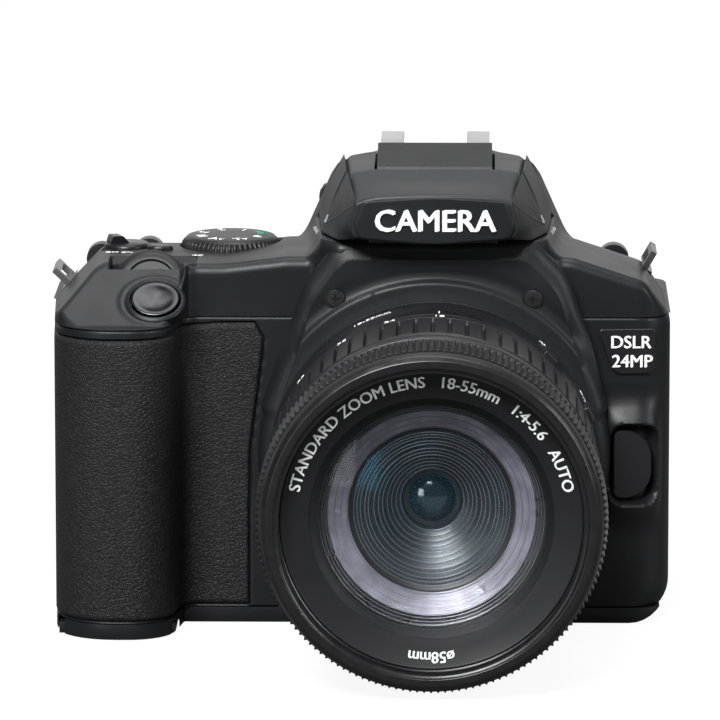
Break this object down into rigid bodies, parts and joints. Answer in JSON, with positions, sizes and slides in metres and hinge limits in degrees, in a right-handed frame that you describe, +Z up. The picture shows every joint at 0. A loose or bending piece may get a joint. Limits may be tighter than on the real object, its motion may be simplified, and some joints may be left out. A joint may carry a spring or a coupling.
{
  "type": "camera",
  "caption": "Compact reflex camera with a standard zoom lens, hand grip, pop-up flash and swing-out screen.",
  "frame": {"origin": "mouth of the tripod socket in the base, under the lens axis", "axes": "+X along the body away from the hand grip, +Y from the lens towards the eyepiece, +Z up"},
  "size_m": [0.1232, 0.1226, 0.0926],
  "materials": {
    "body_plastic": "satin",
    "base_plastic": "matte",
    "grip_rubber": "pebbled",
    "thumb_rubber": "pebbled",
    "panel_plastic": "satin",
    "screw_steel": "satin",
    "badge": "satin",
    "eyecup_rubber": "matte",
    "lug_steel": "satin",
    "shoe_steel": "satin",
    "socket_steel": "satin",
    "mount_chrome": "satin",
    "box_plastic": "matte",
    "screen_matte": "frosted",
    "prism_glass": "polished",
    "eye_glass": "polished",
    "sensor": "polished",
    "board": "satin",
    "battery": "satin",
    "release_metal": "spun",
    "dial_plastic": "satin",
    "control_plastic": "satin",
    "flash_plastic": "satin",
    "flash_glass": "ribbed",
    "plate_plastic": "satin",
    "screen_plastic": "satin",
    "screen_glass": "polished",
    "door_rubber": "matte",
    "latch_plastic": "satin",
    "lens_release": "satin",
    "pin_steel": "satin",
    "mirror": "polished",
    "curtain": "matte",
    "barrel_plastic": "satin",
    "ring_rubber": "matte",
    "name_ring": "matte",
    "front_glass": "coated",
    "switch_plastic": "satin"
  },
  "bodies": {
    "camera": {"front_cover": "body_plastic", "rear_cover": "body_plastic", "top_cover": "body_plastic", "bottom_cover": "base_plastic", "grip_rubber": "grip_rubber", "thumb_rubber": "thumb_rubber", "mount_panel": "panel_plastic", "panel_screws": "screw_steel", "side_badge": "badge", "eyecup": "eyecup_rubber", "strap_lugs": "lug_steel", "hot_shoe": "shoe_steel", "tripod_socket": "socket_steel", "body_mount_ring": "mount_chrome", "mirror_box": "box_plastic", "focusing_screen": "screen_matte", "pentamirror": "prism_glass", "eyepiece_lens": "eye_glass", "shutter_frame": "box_plastic", "image_sensor": "sensor", "main_board": "board", "battery": "battery", "lens_mount_ring": "mount_chrome", "lens_barrel": "barrel_plastic"},
    "shutter_button": {"shutter_button": "release_metal"},
    "main_dial": {"main_dial": "dial_plastic"},
    "mode_dial": {"mode_dial": "dial_plastic"},
    "power_switch": {"power_switch": "control_plastic"},
    "iso_button": {"iso_button": "control_plastic"},
    "flash": {"flash_head": "flash_plastic", "flash_window": "flash_glass", "name_plate": "plate_plastic"},
    "screen": {"screen_arm": "screen_plastic", "screen_frame": "screen_plastic", "screen_glass": "screen_glass"},
    "terminal_door": {"terminal_door": "door_rubber"},
    "battery_door": {"battery_door": "base_plastic"},
    "door_latch": {"door_latch": "latch_plastic"},
    "lens_release": {"lens_release_button": "lens_release"},
    "lock_pin": {"lens_lock_pin": "pin_steel"},
    "main_mirror": {"main_mirror": "mirror"},
    "sub_mirror": {"sub_mirror": "mirror"},
    "curtain": {"shutter_curtain": "curtain"},
    "diopter": {"diopter_knob": "dial_plastic"},
    "menu_button": {"menu_button": "control_plastic"},
    "info_button": {"info_button": "control_plastic"},
    "live_view_button": {"live_view_button": "control_plastic"},
    "ae_lock_button": {"ae_lock_button": "control_plastic"},
    "focus_point_button": {"focus_point_button": "control_plastic"},
    "set_button": {"set_button": "control_plastic"},
    "cross_keys": {"cross_keys": "control_plastic"},
    "play_button": {"play_button": "control_plastic"},
    "erase_button": {"erase_button": "control_plastic"},
    "zoom_ring": {"zoom_ring": "ring_rubber"},
    "front_barrel": {"front_barrel": "barrel_plastic", "name_ring": "name_ring", "front_glass": "front_glass"},
    "focus_ring": {"focus_ring": "ring_rubber"},
    "focus_switch": {"focus_switch": "switch_plastic"},
    "stabiliser_switch": {"stabiliser_switch": "switch_plastic"}
  },
  "joints": [
    {"name": "shutter_press", "type": "slide", "parent": "camera", "child": "shutter_button", "axis": [0, 0.5592, -0.829], "range_m": [0, 0.001], "stiffness_N_per_m": 400},
    {"name": "main_dial_turn", "type": "hinge", "parent": "camera", "child": "main_dial", "pos_m": [-0.0557, -0.0163, 0.0669], "axis": [0, -0.8192, 0.5736], "continuous": true},
    {"name": "mode_dial_turn", "type": "hinge", "parent": "camera", "child": "mode_dial", "pos_m": [-0.0407, 0.005, 0.0702], "axis": [0, 0, 1], "continuous": true},
    {"name": "power_turn", "type": "hinge", "parent": "camera", "child": "power_switch", "pos_m": [-0.0614, 0.0025, 0.0697], "axis": [0, 0, 1], "range_deg": [0, 60]},
    {"name": "iso_press", "type": "slide", "parent": "camera", "child": "iso_button", "axis": [0, 0, -1], "range_m": [0, 0.0008], "stiffness_N_per_m": 400},
    {"name": "flash_raise", "type": "hinge", "parent": "camera", "child": "flash", "pos_m": [0, 0.008, 0.084], "axis": [-1, 0, 0], "range_deg": [0, 72]},
    {"name": "screen_swing", "type": "hinge", "parent": "camera", "child": "screen", "pos_m": [0.0436, 0.0266, 0], "axis": [0, 0, -1], "range_deg": [0, 175]},
    {"name": "terminal_door_swing", "type": "hinge", "parent": "camera", "child": "terminal_door", "pos_m": [0.04575, -0.009, 0], "axis": [0, 0, -1], "range_deg": [0, 110]},
    {"name": "battery_door_swing", "type": "hinge", "parent": "camera", "child": "battery_door", "pos_m": [-0.0515, 0, 0.00115], "axis": [0, -1, 0], "range_deg": [0, 95]},
    {"name": "latch_slide", "type": "slide", "parent": "battery_door", "child": "door_latch", "axis": [1, 0, 0], "range_m": [0, 0.0022]},
    {"name": "release_press", "type": "slide", "parent": "camera", "child": "lens_release", "axis": [0, 1, 0], "range_m": [0, 0.0016], "stiffness_N_per_m": 400},
    {"name": "lock_pin_pull", "type": "slide", "parent": "camera", "child": "lock_pin", "axis": [0, 1, 0], "range_m": [0, 0.0016]},
    {"name": "mirror_flip", "type": "hinge", "parent": "camera", "child": "main_mirror", "pos_m": [0, 0.006, 0.047], "axis": [-1, 0, 0], "range_deg": [0, 43], "stiffness_Nm_per_rad": 0.01, "springref_deg": -20},
    {"name": "sub_mirror_fold", "type": "hinge", "parent": "main_mirror", "child": "sub_mirror", "pos_m": [0, -0.00489, 0.03385], "axis": [1, 0, 0], "range_deg": [0, 86]},
    {"name": "curtain_run", "type": "slide", "parent": "camera", "child": "curtain", "axis": [0, 0, -1], "range_m": [0, 0.0165]},
    {"name": "diopter_turn", "type": "hinge", "parent": "camera", "child": "diopter", "pos_m": [-0.0206, 0.027, 0.078], "axis": [0, 1, 0], "range_deg": [-120, 120]},
    {"name": "menu_press", "type": "slide", "parent": "camera", "child": "menu_button", "axis": [0, -1, 0], "range_m": [0, 0.0008], "stiffness_N_per_m": 400},
    {"name": "info_press", "type": "slide", "parent": "camera", "child": "info_button", "axis": [0, -1, 0], "range_m": [0, 0.0008], "stiffness_N_per_m": 400},
    {"name": "live_view_press", "type": "slide", "parent": "camera", "child": "live_view_button", "axis": [0, -1, 0], "range_m": [0, 0.0008], "stiffness_N_per_m": 400},
    {"name": "ae_lock_press", "type": "slide", "parent": "camera", "child": "ae_lock_button", "axis": [0, -1, 0], "range_m": [0, 0.0008], "stiffness_N_per_m": 400},
    {"name": "focus_point_press", "type": "slide", "parent": "camera", "child": "focus_point_button", "axis": [0, -1, 0], "range_m": [0, 0.0008], "stiffness_N_per_m": 400},
    {"name": "set_press", "type": "slide", "parent": "camera", "child": "set_button", "axis": [0, -1, 0], "range_m": [0, 0.0008], "stiffness_N_per_m": 400},
    {"name": "play_press", "type": "slide", "parent": "camera", "child": "play_button", "axis": [0, -1, 0], "range_m": [0, 0.0008], "stiffness_N_per_m": 400},
    {"name": "erase_press", "type": "slide", "parent": "camera", "child": "erase_button", "axis": [0, -1, 0], "range_m": [0, 0.0008], "stiffness_N_per_m": 400},
    {"name": "keys_rock", "type": "hinge", "parent": "camera", "child": "cross_keys", "pos_m": [-0.054, 0.0246, 0.027], "axis": [1, 0, 0], "range_deg": [-3, 3], "stiffness_Nm_per_rad": 0.03},
    {"name": "zoom_turn", "type": "hinge", "parent": "camera", "child": "zoom_ring", "pos_m": [0, -0.057, 0.034], "axis": [0, -1, 0], "range_deg": [0, 70]},
    {"name": "front_barrel_run", "type": "slide", "parent": "camera", "child": "front_barrel", "axis": [0, -1, 0], "range_m": [0, 0.02]},
    {"name": "focus_turn", "type": "hinge", "parent": "front_barrel", "child": "focus_ring", "pos_m": [0, -0.081, 0.034], "axis": [0, -1, 0], "continuous": true},
    {"name": "focus_switch_slide", "type": "slide", "parent": "camera", "child": "focus_switch", "axis": [0, 1, 0], "range_m": [0, 0.004]},
    {"name": "stabiliser_slide", "type": "slide", "parent": "camera", "child": "stabiliser_switch", "axis": [0, 1, 0], "range_m": [0, 0.004]}
  ],
  "couplings": [
    {"joint": "lock_pin_pull", "follows": "release_press", "ratio": 1},
    {"joint": "sub_mirror_fold", "follows": "mirror_flip", "ratio": 2},
    {"joint": "front_barrel_run", "follows": "zoom_turn", "m_per_rad": 0.016369}
  ]
}
